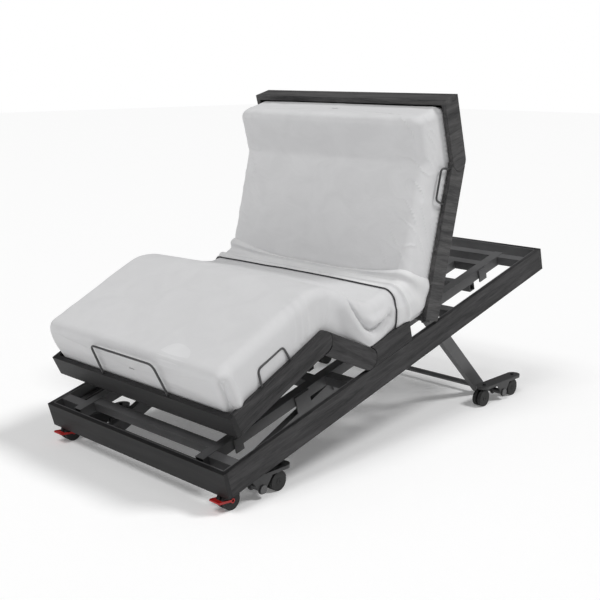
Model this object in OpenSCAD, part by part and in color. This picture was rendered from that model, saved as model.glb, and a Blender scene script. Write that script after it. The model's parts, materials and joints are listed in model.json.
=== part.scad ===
// Low adjustable bed on two folding leg frames: wood-look surround, steel chassis, five-section
// mattress deck with side boards, mattress, four castor bogies and five linear actuators.
// X runs across the bed, Y towards the head end and Z up. The origin is on the floor, under the
// middle of the bed's length and width.

/* [Surround] */
// Width over the side boards
bed_w = 1114; // [1000:1:1200]
// Length over the end boards
bed_l = 2100; // [2060:1:2200]
// Height of the surround boards
surround_h = 104; // [90:1:104]
// Thickness of the surround boards
surround_t = 18; // [15:1:20]
// Slope of the chassis, head end up, degrees
tilt = 15; // [14:0.5:15]
// Height of the foot end's lower edge above the floor
foot_edge_z = 63; // [63:1:80]

/* [Deck] */
// Depth of the deck boards
board_h = 88; // [80:1:90]
// Thickness of the deck boards
board_t = 22; // [18:1:24]
// Height of the deck hinges above the surround's lower edge
deck_z = 150; // [150:1:160]
// Thigh hinge, measured from the foot end
thigh_y = 820; // [815:1:825]
// Seat section's head end
seat_end_y = 1090; // [1080:1:1095]
// Back hinge with the back raised
back_y = 1242; // [1240:1:1250]
// Length of the thigh section
thigh_len = 291; // [280:1:300]
// Length of the leg section
calf_len = 512; // [500:1:515]
// Length of the back section, hinge to hinge
back_len = 657; // [640:1:670]
// Length of the head section
head_len = 272; // [260:1:280]
// Angle of the raised thigh section, degrees
thigh_a = 39.6; // [39:0.1:40]
// Downward angle of the leg section, degrees
calf_a = 10.6; // [10:0.1:11]
// Angle of the raised back section, degrees
back_a = 61.3; // [60:0.1:62]
// Angle of the head section to the back section, degrees
head_a = 29.4; // [28:0.1:30]

/* [Leg frames] */
// Distance between the two pivots of a leg
leg_len = 592; // [585:1:600]
// Depth of a leg bar
leg_h = 60; // [50:1:60]
// Width of a leg bar
leg_t = 30; // [20:1:30]
// Inner face of a leg bar from the centre line
leg_x = 370; // [370:1:372]
// Height of the legs' upper pivots above the surround's lower edge
leg_pivot_z = 28; // [26:1:28]
// Foot axle, measured along the floor from the foot end
foot_axle_y = 187; // [185:1:190]
// Head axle, measured along the floor from the foot end
head_axle_y = 1777; // [1770:1:1785]
// Height of the axles above the floor
axle_z = 38; // [37:1:40]
// Radius of the axles
axle_r = 12.5; // [12:0.5:13]

/* [Bogies and castors] */
// Length of a bogie
bogie_l = 320; // [310:1:320]
// Width of a bogie
bogie_w = 62; // [60:1:62]
// Bogie's centre from the bed's centre line
bogie_x = 500; // [498:1:500]
// Height of a bogie's top face
bogie_top = 94; // [93:1:96]
// Distance between the two castors of a bogie
wheelbase = 236; // [230:1:238]
// Castor wheel diameter
wheel_d = 75; // [74:1:75]
// Width of one wheel of the pair
wheel_w = 16; // [14:1:17]
// Trail of a castor
trail = 25; // [22:1:25]

/* [Mattress] */
// Width of the mattress
mattress_w = 1052; // [1000:2:1060]
// Thickness of the mattress
mattress_t = 192; // [150:1:195]

/* [Hidden] */
$fn = 48;
run = 0.05;
lip_t = 4;
tube_wall = 3;
tube_h = 40;
tube_z = 62;
rail_x0 = 365;
rail_x1 = 410;
mid_x0 = 195;
mid_x1 = 235;
knuckle_r = board_h / 2;
knuckle_gap = 2;
side_x = bed_w / 2 - board_t;
inner_x = bed_w / 2 - surround_t - lip_t;
frame_lo = -38;
slat_t = 8;
slat_w = 56;
bearer_x = 492;
bearer_w = 30;
ear_t = 8;
ear_gap = 2;
ear_r = 16;
pin_r = 8;
mattress_n0 = 6;
lane = 90;
rod_r = 10;
act_r = 18;
eye_r = 14;
act_pin_r = 6;
wire_r = 4.5;
wheel_r = wheel_d / 2;
hoop_top = 186;

// A point given by its distance along the floor and its height, in the chassis's own y and z.
function in_chassis(y, z) = [
    y * cos(tilt) + (z - foot_edge_z) * sin(tilt),
    -y * sin(tilt) + (z - foot_edge_z) * cos(tilt)];

foot_axle = in_chassis(foot_axle_y, axle_z);
head_axle = in_chassis(head_axle_y, axle_z);
foot_leg_y = foot_axle[0] + sqrt(pow(leg_len, 2) - pow(leg_pivot_z - foot_axle[1], 2));
head_leg_y = head_axle[0] - sqrt(pow(leg_len, 2) - pow(leg_pivot_z - head_axle[1], 2));
foot_leg_a = asin((leg_pivot_z - foot_axle[1]) / leg_len);
head_leg_a = asin((leg_pivot_z - head_axle[1]) / leg_len);
knee = [thigh_y - thigh_len * cos(thigh_a), deck_z + thigh_len * sin(thigh_a)];
neck = [back_y + back_len * cos(back_a), deck_z + back_len * sin(back_a)];

// The foot hoop's top and the surround's head end are the two ends of the whole bed.
hoop_u = calf_len - board_t / 2 + wire_r;
hoop_n = hoop_top + wire_r;
foot_most = (knee[0] - hoop_u * cos(calf_a) - hoop_n * sin(calf_a)) * cos(tilt)
    - (knee[1] - hoop_u * sin(calf_a) + hoop_n * cos(calf_a)) * sin(tilt);
y_origin = (bed_l * cos(tilt) + foot_most) / 2;

// Horn points of the actuators in their sections' own frames: along the section, and up from it.
horn_len = 55;
head_fold = head_leg_a - foot_leg_a;
thigh_horn = 75;
back_lug = [40, -80];
head_horn = 60;

function turn(p, a) = [p[0] * cos(a) - p[1] * sin(a), p[0] * sin(a) + p[1] * cos(a)];

foot_horn_at = [foot_leg_y, leg_pivot_z] + turn([0, -horn_len], 0);
head_horn_at = [head_leg_y, leg_pivot_z] + turn([0, -horn_len], -head_fold);
thigh_horn_at = [thigh_y, deck_z] + turn([0, -thigh_horn], -thigh_a);
back_lug_at = [back_y, deck_z] + turn(back_lug, back_a);

// Actuators: lane, base point, end point at rest, shortest length, side of the motor.
foot_lift = [-lane, [330, 20], foot_horn_at, 429, -1];
head_lift = [lane, [1830, 0], head_horn_at, 416, 1];
thigh_lift = [-lane, [1200, 50], thigh_horn_at, 380, 1];
back_lift = [lane, [800, 20], back_lug_at, 363, -1];
neck_lift = [-lane, [300, -60], [back_len, 0] + turn([0, -head_horn], head_a), 356, 1];

// Places ------------------------------------------------------------------------------------

// The sloping chassis: y from the foot end's outer face, z from the surround's lower edge.
module chassis() {
    translate([0, -y_origin, foot_edge_z]) rotate([tilt, 0, 0]) children();
}

// A section of the deck, with +Y along the section away from its hinge and +Z out of the deck.
module thigh_place() {
    chassis() translate([0, thigh_y, deck_z]) rotate([-thigh_a, 0, 0]) mirror([0, 1, 0]) children();
}

module calf_place() {
    chassis() translate([0, knee[0], knee[1]]) rotate([calf_a, 0, 0]) mirror([0, 1, 0]) children();
}

module back_place() {
    chassis() translate([0, back_y, deck_z]) rotate([back_a, 0, 0]) children();
}

module head_place() {
    chassis() translate([0, neck[0], neck[1]]) rotate([back_a + head_a, 0, 0]) children();
}

// A leg frame, with +Y from its upper pivot to its axle.
module foot_leg_place() {
    chassis() translate([0, foot_leg_y, leg_pivot_z]) rotate([foot_leg_a, 0, 0])
        mirror([0, 1, 0]) children();
}

module head_leg_place() {
    chassis() translate([0, head_leg_y, leg_pivot_z]) rotate([-head_leg_a, 0, 0]) children();
}

// A bogie, with its origin on the floor under its axle.
module bogie_place(side, axle_y) {
    translate([side * bogie_x, axle_y - y_origin, 0]) children();
}

// Shared shapes -----------------------------------------------------------------------------

// Child outline drawn in Y and Z, made into a plate from x0 to x0 + w.
module plate(x0, w) {
    translate([x0, 0, 0]) rotate([90, 0, 90]) linear_extrude(w) children();
}

// The same plate on both sides of the centre line.
module plate_pair(x0, w) {
    plate(x0, w) children();
    plate(-x0 - w, w) children();
}

// Round bar along X.
module bar_x(x0, x1, r, y = 0, z = 0) {
    translate([x0, y, z]) rotate([0, 90, 0]) cylinder(r = r, h = x1 - x0);
}

// Hollow rectangular tube along Y.
module tube_y(x0, x1, y0, y1, z0, z1) {
    difference() {
        translate([x0, y0, z0]) cube([x1 - x0, y1 - y0, z1 - z0]);
        translate([x0 + tube_wall, y0 - 1, z0 + tube_wall])
            cube([x1 - x0 - 2 * tube_wall, y1 - y0 + 2, z1 - z0 - 2 * tube_wall]);
    }
}

// Hollow rectangular tube along X.
module tube_x(x0, x1, y0, y1, z0, z1) {
    difference() {
        translate([x0, y0, z0]) cube([x1 - x0, y1 - y0, z1 - z0]);
        translate([x0 - 1, y0 + tube_wall, z0 + tube_wall])
            cube([x1 - x0 + 2, y1 - y0 - 2 * tube_wall, z1 - z0 - 2 * tube_wall]);
    }
}

module rect(y0, y1, z0, z1) {
    translate([y0, z0]) square([y1 - y0, z1 - z0]);
}

// Outline of a bar hoop that stands on a board's top edge, leaning in by lean at the top.
module hoop_outline(y0, y1, z1, lean) {
    foot = board_h / 2;
    difference() {
        polygon([[y0 - wire_r, foot], [y0 + lean - wire_r, z1 + wire_r], [y1 - lean + wire_r, z1 + wire_r],
            [y1 + wire_r, foot]]);
        polygon([[y0 + wire_r, foot - 1], [y0 + lean + wire_r, z1 - wire_r],
            [y1 - lean - wire_r, z1 - wire_r], [y1 - wire_r, foot - 1]]);
    }
}

// Hinge ear of a deck section: round knuckle on the hinge axis, swept back to the side bearer.
module ear_outline(reach) {
    circle(r = ear_r);
    polygon([[0, ear_r], [reach, -slat_t], [reach, frame_lo], [0, -ear_r]]);
}

// Steel ladder frame of a deck section between y0 and y1, with a slat about every pitch.
module ladder(y0, y1, count) {
    for (x = [bearer_x, -bearer_x - bearer_w])
        tube_y(x, x + bearer_w, y0, y1, frame_lo, -slat_t);
    step = (y1 - y0 - slat_w) / (count - 1);
    for (i = [0 : count - 1])
        translate([-bearer_x - bearer_w, y0 + i * step, -slat_t])
            cube([2 * (bearer_x + bearer_w), slat_w, slat_t]);
}

// Ear with a pin, on the section that carries the next one.
module pin_ears() {
    x0 = bearer_x + ear_t + ear_gap;
    plate_pair(x0, ear_t) children();
    for (s = [-1, 1])
        bar_x(s * (bearer_x + x0 + ear_t) / 2 - ear_t - ear_gap, s * (bearer_x + x0 + ear_t) / 2
            + ear_t + ear_gap, pin_r);
}

// Ear with a bore, on the section that is carried.
module bore_ears(reach) {
    plate_pair(bearer_x, ear_t) difference() {
        ear_outline(reach);
        circle(r = pin_r + run);
    }
}

// Two lug plates of an actuator's open end, from a beam down to the point p.
module lugs(x, p, y0, y1, z) {
    for (s = [-1, 1])
        plate(x + s * 14 - 3, 6) {
            translate(p) circle(r = eye_r + 2);
            polygon([[y0, z], [y1, z], p + [eye_r + 2, 0], p - [eye_r + 2, 0]]);
        }
    for (s = [-1, 1])
        bar_x(x + s * 19.5 - 2.5, x + s * 19.5 + 2.5, 9, p[0], p[1]);
}

// Actuators ---------------------------------------------------------------------------------

// Places an actuator with +Y from its base point to its end point.
module along(a) {
    d = a[2] - a[1];
    translate([a[0], a[1][0], a[1][1]]) rotate([atan2(d[1], d[0]), 0, 0]) children();
}

function reach_of(a) = norm(a[2] - a[1]);
function sleeve_end(a) = a[3] - 45;

module actuator_body(a) {
    color("dimgray") along(a) difference() {
        union() {
            bar_x(-10, 10, eye_r);
            translate([-10, 0, -12]) cube([20, 30, 24]);
            translate([-24, 28, -22]) cube([48, 52, 44]);
            translate([0, 60, 0]) rotate([-90, 0, 0]) cylinder(r = act_r, h = sleeve_end(a) - 60);
            translate([a[4] * 48, 34, 0]) rotate([-90, 0, 0]) cylinder(r = 21, h = 92);
            translate([a[4] > 0 ? 10 : -38, 36, -15]) cube([28, 38, 30]);
        }
        bar_x(-11, 11, act_pin_r + run);
        translate([0, 82, 0]) rotate([-90, 0, 0]) cylinder(r = rod_r + run, h = sleeve_end(a));
    }
}

module actuator_rod(a) {
    start = 86 + max(0, reach_of(a) - a[3]);
    color("silver") along(a) union() {
        translate([0, start, 0]) rotate([-90, 0, 0]) cylinder(r = rod_r, h = reach_of(a) - start);
        translate([0, reach_of(a), 0]) bar_x(-9, 9, eye_r - 2);
    }
}

// Two bracket plates under or beside a cross member, with the pin of an actuator's base eye.
module base_bracket(a, y0, y1, z) {
    p = a[1];
    for (s = [-1, 1])
        plate(a[0] + s * 14.5 - 3, 6) {
            translate(p) circle(r = eye_r + 2);
            polygon([[y0, z], [y1, z], p + [eye_r + 2, 0], p - [eye_r + 2, 0]]);
        }
    bar_x(a[0] - 22, a[0] + 22, act_pin_r, p[0], p[1]);
}

// Surround and chassis ----------------------------------------------------------------------

module surround_boards() {
    hairline = 0.2;
    color("#3a3a3a") chassis() {
        for (s = [-1, 1])
            translate([s > 0 ? bed_w / 2 - surround_t : -bed_w / 2, surround_t + hairline, 0])
                cube([surround_t, bed_l - 2 * (surround_t + hairline), surround_h]);
        for (y = [0, bed_l - surround_t])
            translate([-bed_w / 2, y, 0]) cube([bed_w, surround_t, surround_h]);
    }
}

// Two inner rails, two middle rails and the two steel angles that carry the side boards.
module chassis_rails() {
    top = tube_z + tube_h;
    color("#505050") chassis() {
        for (s = [-1, 1]) {
            tube_y(s > 0 ? rail_x0 : -rail_x1, s > 0 ? rail_x1 : -rail_x0, 36, 2002, 60, 104);
            tube_y(s > 0 ? mid_x0 : -mid_x1, s > 0 ? mid_x1 : -mid_x0, 310, 1845, tube_z, top);
            translate([s > 0 ? inner_x : -inner_x - lip_t, 22, 56])
                cube([lip_t, bed_l - 44, surround_h - 56]);
            translate([s > 0 ? inner_x - 26 : -inner_x, 22, 56]) cube([26, bed_l - 44, lip_t]);
        }
    }
}

module chassis_cross_members() {
    top = tube_z + tube_h;
    color("#505050") chassis() {
        for (y = [105, 1960])
            tube_x(-rail_x0, rail_x0, y, y + tube_h, tube_z, top);
        // Foot lift's cross member
        tube_x(-rail_x0, rail_x0, 270, 310, tube_z, top);
        base_bracket(foot_lift, 272, 308, tube_z);
        // Head lift's cross member
        tube_x(-rail_x0, rail_x0, 1845, 1885, tube_z, top);
        base_bracket(head_lift, 1847, 1883, tube_z);
        // The thigh and back lifts' cross members hang under the middle rails
        tube_x(-mid_x1, mid_x1, 1225, 1261, tube_z - 36, tube_z);
        base_bracket(thigh_lift, 1225, 1226, 44);
        tube_x(-mid_x1, mid_x1, 780, 812, 38, 58);
        for (x = [-mid_x1, mid_x0])
            translate([x, 780, 57]) cube([mid_x1 - mid_x0, 32, tube_z - 57]);
        base_bracket(back_lift, 784, 808, 40);
        tube_x(-rail_x1, rail_x1, 1710, 1746, 24, 60);
        tube_x(-mid_x0, mid_x0, 600, 640, tube_z, top);
        for (s = [-1, 1], y = [640, 1440])
            tube_x(s > 0 ? mid_x1 : -rail_x0, s > 0 ? rail_x0 : -mid_x1, y, y + tube_h, tube_z, top);
        // Outriggers from the rails to the side angles
        for (s = [-1, 1], y = [60, 700, 1380, 1950])
            tube_x(s > 0 ? rail_x1 : -inner_x, s > 0 ? inner_x : -rail_x1, y, y + tube_h, 62, top);
        // End angles
        for (y = [surround_t, bed_l - surround_t - lip_t])
            translate([-inner_x, y, 56]) cube([2 * inner_x, lip_t, surround_h - 56]);
    }
}

// Plates with stub pins that hold the two leg frames, and the stiffening plates on the rails.
module leg_brackets() {
    color("#454545") chassis() for (s = [-1, 1]) {
        for (y = [foot_leg_y, head_leg_y]) {
            x = leg_x + leg_t + 1;
            plate(s > 0 ? x : -x - 8, 8) {
                translate([y, leg_pivot_z]) circle(r = 22);
                rect(y - 22, y + 22, leg_pivot_z, 60);
            }
            bar_x(s > 0 ? leg_x + 2 : -leg_x - leg_t - 12, s > 0 ? leg_x + leg_t + 12 : -leg_x - 2,
                10, y, leg_pivot_z);
        }
        for (span = [[183, 224, 42], [518, 598, 26], [1787, 1842, 42]])
            plate(s > 0 ? rail_x1 : -rail_x1 - 6, 6) rect(span[0], span[1], span[2], 98);
    }
}

// Control unit on the right middle rail, with its mains inlet on the foot-side face.
module control_box() {
    color("#202020") chassis() union() {
        translate([mid_x1, 900, 52]) cube([110, 190, 44]);
        translate([mid_x1 + 60, 900, 74]) rotate([90, 0, 0]) cylinder(r = 14, h = 12);
        for (y = [884, 1090])
            translate([mid_x1, y, 60]) cube([30, 16, 4]);
    }
}

// Deck --------------------------------------------------------------------------------------

// Hollow cut that lets the next board's knuckle turn, wider by relief on the side that closes.
module knuckle_cut(y, relief = 0, side = 1) {
    r = knuckle_r + knuckle_gap;
    translate([y, 0]) {
        circle(r = r, $fn = 96);
        intersection() {
            circle(r = r + relief, $fn = 96);
            rect(-2 * r, 2 * r, side > 0 ? 0 : -2 * r, side > 0 ? 2 * r : 0);
        }
    }
}

module seat_boards() {
    color("#3a3a3a") chassis() translate([0, thigh_y, deck_z])
        plate_pair(side_x, board_t) difference() {
            rect(0, seat_end_y - thigh_y, -board_h / 2, board_h / 2);
            knuckle_cut(0, 2, 1);
        }
}

module seat_frame() {
    y0 = 50;
    y1 = seat_end_y - thigh_y - 5;
    color("#505050") chassis() translate([0, thigh_y, deck_z]) {
        ladder(y0, y1, 3);
        pin_ears() ear_outline(y0 + 10);
        // Two bolsters that stand the seat on the rails
        for (y = [62, y1 - 50])
            translate([-bearer_x - bearer_w, y, -46]) cube([2 * (bearer_x + bearer_w), 30, 8]);
    }
}

module thigh_boards() {
    color("#3a3a3a") thigh_place() plate_pair(side_x, board_t) difference() {
        union() {
            circle(r = knuckle_r, $fn = 96);
            rect(0, thigh_len, -board_h / 2, board_h / 2);
        }
        knuckle_cut(thigh_len, 4, -1);
    }
}

module thigh_frame() {
    color("#505050") thigh_place() {
        ladder(50, thigh_len - 50, 3);
        bore_ears(60);
        translate([0, thigh_len, 0]) pin_ears() mirror([1, 0]) ear_outline(60);
        translate([-lane - 40, 52, frame_lo]) cube([80, 50, 30]);
        lugs(-lane, [0, -thigh_horn], 52, 102, frame_lo);
    }
}

module calf_boards() {
    hairline = 0.2;
    end = calf_len - board_t;
    color("#3a3a3a") calf_place() {
        plate_pair(side_x, board_t) union() {
            circle(r = knuckle_r, $fn = 96);
            rect(0, end - hairline, -board_h / 2, board_h / 2);
        }
        translate([-bed_w / 2, end, -board_h / 2]) cube([bed_w, board_t, board_h]);
    }
}

module calf_frame() {
    color("#505050") calf_place() {
        ladder(50, calf_len - board_t, 5);
        bore_ears(60);
    }
}

// The lower corner is eased so that it clears the surround as the back swings.
module back_boards() {
    heel = 25;
    color("#3a3a3a") back_place() plate_pair(side_x, board_t) difference() {
        union() {
            rect(0, back_len, -board_h / 2, board_h / 2);
            rect(-heel, 1, 0, board_h / 2);
            intersection() {
                rect(-heel, 1, -board_h / 2, 1);
                circle(r = knuckle_r + 1.5, $fn = 96);
            }
        }
        knuckle_cut(back_len);
    }
}

module back_frame() {
    color("#505050") back_place() {
        ladder(50, back_len - 50, 6);
        bore_ears(60);
        translate([0, back_len, 0]) pin_ears() mirror([1, 0]) ear_outline(60);
        // Lug beam of the back lift
        translate([lane - 40, 52, frame_lo]) cube([80, 50, 30]);
        lugs(lane, back_lug, 52, 102, frame_lo);
        // Bracket of the neck lift
        translate([-lane - 40, 275, frame_lo]) cube([80, 50, 30]);
        base_bracket(neck_lift, 282, 318, frame_lo);
    }
}

module head_boards() {
    hairline = 0.2;
    end = head_len - board_t;
    color("#3a3a3a") head_place() {
        plate_pair(side_x, board_t) union() {
            circle(r = knuckle_r, $fn = 96);
            rect(0, end - hairline, -board_h / 2, board_h / 2);
        }
        translate([-bed_w / 2, end, -board_h / 2]) cube([bed_w, board_t, board_h]);
    }
}

module head_frame() {
    color("#505050") head_place() {
        ladder(50, head_len - board_t, 3);
        bore_ears(60);
        translate([-lane - 40, 52, frame_lo]) cube([80, 50, 30]);
        lugs(-lane, [0, -head_horn], 52, 102, frame_lo);
    }
}

// Pair of slide shoes that carry the back hinge along the inner rails.
module back_carriage() {
    shoe_l = 90;
    color("#454545") chassis() translate([0, back_y, deck_z]) {
        pin_ears() {
            circle(r = ear_r);
            rect(-ear_r, ear_r, -39, 0);
        }
        for (s = [-1, 1]) {
            bar_x(s > 0 ? rail_x1 + 4 : -bearer_x - 12, s > 0 ? bearer_x + 12 : -rail_x1 - 4, 11, 0, -28);
            translate([s > 0 ? rail_x0 - 7 : -rail_x1 - 7, -shoe_l / 2, -45.5])
                cube([rail_x1 - rail_x0 + 14, shoe_l, 10]);
            for (x = [rail_x0 - 7, rail_x1 + 1])
                translate([s > 0 ? x : -x - 6, -shoe_l / 2, -78]) cube([6, shoe_l, 34]);
        }
    }
}

module back_retainers() {
    x = side_x + board_t / 2;
    color("#2c2c2c") back_place()
        plate_pair(x - wire_r, 2 * wire_r) hoop_outline(462, 614, 102, 9);
}

// Two side hoops and the wide hoop on the foot board.
module calf_retainers() {
    x = side_x + board_t / 2;
    half = 204;
    color("#2c2c2c") calf_place() {
        plate_pair(x - wire_r, 2 * wire_r) hoop_outline(168, 330, 112, 12);
        translate([0, calf_len - board_t / 2 + wire_r, 0]) rotate([90, 0, 0])
            linear_extrude(2 * wire_r) hoop_outline(-half, half, hoop_top, 10);
    }
}

// Mattress ----------------------------------------------------------------------------------

// One block of the mattress: outline points are [along the section, above the deck].
module mattress_block(points) {
    color("whitesmoke") translate([-mattress_w / 2, 0, 0]) rotate([90, 0, 90])
        linear_extrude(mattress_w) polygon(points);
}

mattress_n1 = mattress_n0 + mattress_t;
neck_cut = mattress_n1 * tan(head_a / 2);
thigh_cut = mattress_n1 * tan(thigh_a / 2);
hinge_clear = 28;

module mattress_seat() {
    chassis() translate([0, thigh_y, deck_z])
        mattress_block([[hinge_clear, mattress_n0], [thigh_cut + 10, mattress_n1],
            [seat_end_y - thigh_y, mattress_n1], [seat_end_y - thigh_y, mattress_n0]]);
}

module mattress_thigh() {
    thigh_place() mattress_block([[hinge_clear, mattress_n0], [thigh_cut + 10, mattress_n1],
        [thigh_len - 6, mattress_n1], [thigh_len - hinge_clear, mattress_n0]]);
}

module mattress_calf() {
    calf_place() mattress_block([[hinge_clear, mattress_n0], [6, mattress_n1], [470, mattress_n1],
        [482, mattress_n0]]);
}

module mattress_back() {
    back_place() mattress_block([[44, mattress_n0], [144, mattress_n1],
        [back_len - neck_cut - 6, mattress_n1], [back_len - hinge_clear, mattress_n0]]);
}

module mattress_head() {
    head_place() mattress_block([[hinge_clear, mattress_n0], [neck_cut + 6, mattress_n1],
        [head_len - board_t - 14, mattress_n1 - 6], [head_len - board_t - 6, mattress_n0]]);
}

// Leg frames --------------------------------------------------------------------------------

module leg_pair() {
    color("#505050") plate_pair(leg_x, leg_t) difference() {
        union() {
            circle(r = leg_h / 2, $fn = 96);
            rect(0, leg_len, -leg_h / 2, leg_h / 2);
            translate([leg_len, 0]) circle(r = leg_h / 2, $fn = 96);
        }
        circle(r = 10 + run);
        translate([leg_len, 0]) circle(r = axle_r);
    }
}

// Torque tube between the legs on the pivot line with the lift horn, and the bogies' axle.
module leg_tubes(x, horn) {
    torque_r = 17.5;
    color("#505050") {
        bar_x(-leg_x, leg_x, torque_r);
        for (s = [-1, 1])
            plate(x + s * 14 - 3, 6) {
                circle(r = torque_r + 2);
                translate(horn) circle(r = eye_r + 2);
                polygon([[-torque_r, 0], [torque_r, 0], horn + [eye_r + 2, 0], horn - [eye_r + 2, 0]]);
            }
        bar_x(-bogie_x - bogie_w / 2 - 3, bogie_x + bogie_w / 2 + 3, axle_r, leg_len, 0);
        for (s = [-1, 1])
            bar_x(s * (bogie_x + bogie_w / 2 + 5) - 2, s * (bogie_x + bogie_w / 2 + 5) + 2,
                axle_r + 4, leg_len, 0);
    }
}

module foot_legs() {
    foot_leg_place() leg_pair();
}

module head_legs() {
    head_leg_place() leg_pair();
}

module foot_leg_tubes() {
    foot_leg_place() leg_tubes(foot_lift[0], turn([0, -horn_len], foot_leg_a));
}

module head_leg_tubes() {
    head_leg_place() leg_tubes(head_lift[0], turn([0, -horn_len], foot_leg_a));
}

// Bogies and castors ------------------------------------------------------------------------

// Shallow channel with round ends, two triangular lugs on the axle and a hole for each castor.
module bogie(side, axle_y) {
    wall = 4;
    depth = 14;
    lug = 20;
    color("#3c3c3c") bogie_place(side, axle_y) difference() {
        union() {
            translate([0, 0, bogie_top - depth]) linear_extrude(depth) bogie_outline(0);
            for (x = [-bogie_w / 2, bogie_w / 2 - wall])
                plate(x, wall) {
                    translate([0, axle_z]) circle(r = lug);
                    polygon([[-58, bogie_top - wall], [58, bogie_top - wall], [lug, axle_z],
                        [-lug, axle_z]]);
                }
        }
        translate([0, 0, bogie_top - depth - 1]) linear_extrude(depth + 1 - wall) bogie_outline(wall);
        bar_x(-bogie_w, bogie_w, axle_r + run, 0, axle_z);
        for (s = [-1, 1])
            translate([0, s * wheelbase / 2, bogie_top - depth]) cylinder(r = 8 + run, h = depth + 1);
    }
}

module bogie_outline(inset) {
    r = bogie_w / 2;
    straight = bogie_l / 2 - r;
    for (s = [-1, 1])
        translate([0, s * straight]) circle(r = r - inset);
    translate([inset - r, -straight]) square([2 * (r - inset), 2 * straight]);
}

// Castors are numbered along the left side from the foot end, 1 to 4, then along the right, 5 to 8.
function castor_side(i) = i < 4 ? -1 : 1;
function castor_y(i) = (i % 4 < 2 ? foot_axle_y : head_axle_y) + (i % 2 == 0 ? -1 : 1) * wheelbase / 2;

module castor_place(i) {
    translate([castor_side(i) * bogie_x, castor_y(i) - y_origin, 0]) children();
}

// Stem, bearing housing, web between the wheels, axle and a quarter hood over the wheels.
module castor_fork(i) {
    web = 9;
    half = web / 2 + 1 + wheel_w;
    top = bogie_top - 4;
    color("#242424") castor_place(i) {
        translate([0, 0, top - 14]) cylinder(r = 8, h = 24);
        translate([0, 0, top - 14]) cylinder(r = 19, h = 13.5);
        plate(-web / 2, web) {
            translate([-trail, wheel_r]) circle(r = 15);
            polygon([[-trail - 15, wheel_r], [-trail + 4, top - 8], [17, top - 8], [-trail + 14, wheel_r - 4]]);
        }
        bar_x(-half, half, 5, -trail, wheel_r);
        plate(-half + 2, 2 * half - 4) intersection() {
            difference() {
                translate([-trail, wheel_r]) circle(r = wheel_r + 4, $fn = 96);
                translate([-trail, wheel_r]) circle(r = wheel_r + 1, $fn = 96);
            }
            rect(-trail, 17, wheel_r + 10, top);
        }
        if (i == 3 || i == 7)
            translate([0, -trail - 4, wheel_r + 4]) rotate([35, 0, 0]) {
                translate([-4, -42, 0]) cube([8, 30, 4]);
                translate([-11, -58, 0]) cube([22, 19, 4]);
            }
    }
}

module castor_wheels(i) {
    color("#1c1c1c") castor_place(i) for (s = [-1, 1])
        translate([s * (5.5 + wheel_w / 2), -trail, wheel_r]) rotate([0, 90, 0])
            translate([0, 0, -wheel_w / 2]) difference() {
                union() {
                    cylinder(r = wheel_r, h = wheel_w, $fn = 96);
                    translate([0, 0, s > 0 ? wheel_w : -1.5]) cylinder(r = 12, h = 1.5);
                }
                translate([0, 0, -2]) cylinder(r = 5 + run, h = wheel_w + 4);
            }
}

// Brake pedal that turns on the castor's axle and sticks out under the foot board.
module brake_pedal(i) {
    reach = 65;
    arm_x = 25.5;
    arm_t = 3;
    color("#c8201c") castor_place(i) translate([0, -trail, wheel_r]) rotate([-6, 0, 0]) {
        for (s = [-1, 1])
            plate(s * arm_x - arm_t / 2, arm_t) difference() {
                union() {
                    circle(r = 9);
                    rect(-reach, 0, -4, 5);
                }
                circle(r = 5 + run);
            }
        translate([-arm_x, -reach - 3, -2]) cube([2 * arm_x, 24, 5]);
    }
}

surround_boards();
chassis_rails();
chassis_cross_members();
leg_brackets();
control_box();
seat_boards();
seat_frame();
back_carriage();
back_boards();
back_frame();
head_boards();
head_frame();
thigh_boards();
thigh_frame();
calf_boards();
calf_frame();
back_retainers();
calf_retainers();
mattress_head();
mattress_back();
mattress_seat();
mattress_thigh();
mattress_calf();
foot_legs();
foot_leg_tubes();
head_legs();
head_leg_tubes();
bogie(-1, foot_axle_y);  // bogie_foot_left
bogie(1, foot_axle_y);  // bogie_foot_right
bogie(-1, head_axle_y);  // bogie_head_left
bogie(1, head_axle_y);  // bogie_head_right
for (i = [0 : 7]) {
    castor_fork(i);
    castor_wheels(i);
}
brake_pedal(0);  // brake_pedal_left
brake_pedal(4);  // brake_pedal_right
chassis() actuator_body(foot_lift);  // foot_lift_body
chassis() actuator_rod(foot_lift);  // foot_lift_rod
chassis() actuator_body(head_lift);  // head_lift_body
chassis() actuator_rod(head_lift);  // head_lift_rod
chassis() actuator_body(thigh_lift);  // thigh_lift_body
chassis() actuator_rod(thigh_lift);  // thigh_lift_rod
chassis() actuator_body(back_lift);  // back_lift_body
chassis() actuator_rod(back_lift);  // back_lift_rod
back_place() actuator_body(neck_lift);  // neck_lift_body
back_place() actuator_rod(neck_lift);  // neck_lift_rod
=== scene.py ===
# %% [markdown]
# # An adjustable bed with its mattress and linen
# The steel, the boards and everything that moves come ready made, as the frame. This script gives them
# their finishes, except for the castor wheels, which keep the plain finish that they come with. It makes
# what a workshop can't cut from plate: the bent mattress, the bed linen and the bent wire retainers.
# Everything is in metres, Z is up, and the head end is towards +Y.

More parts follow.
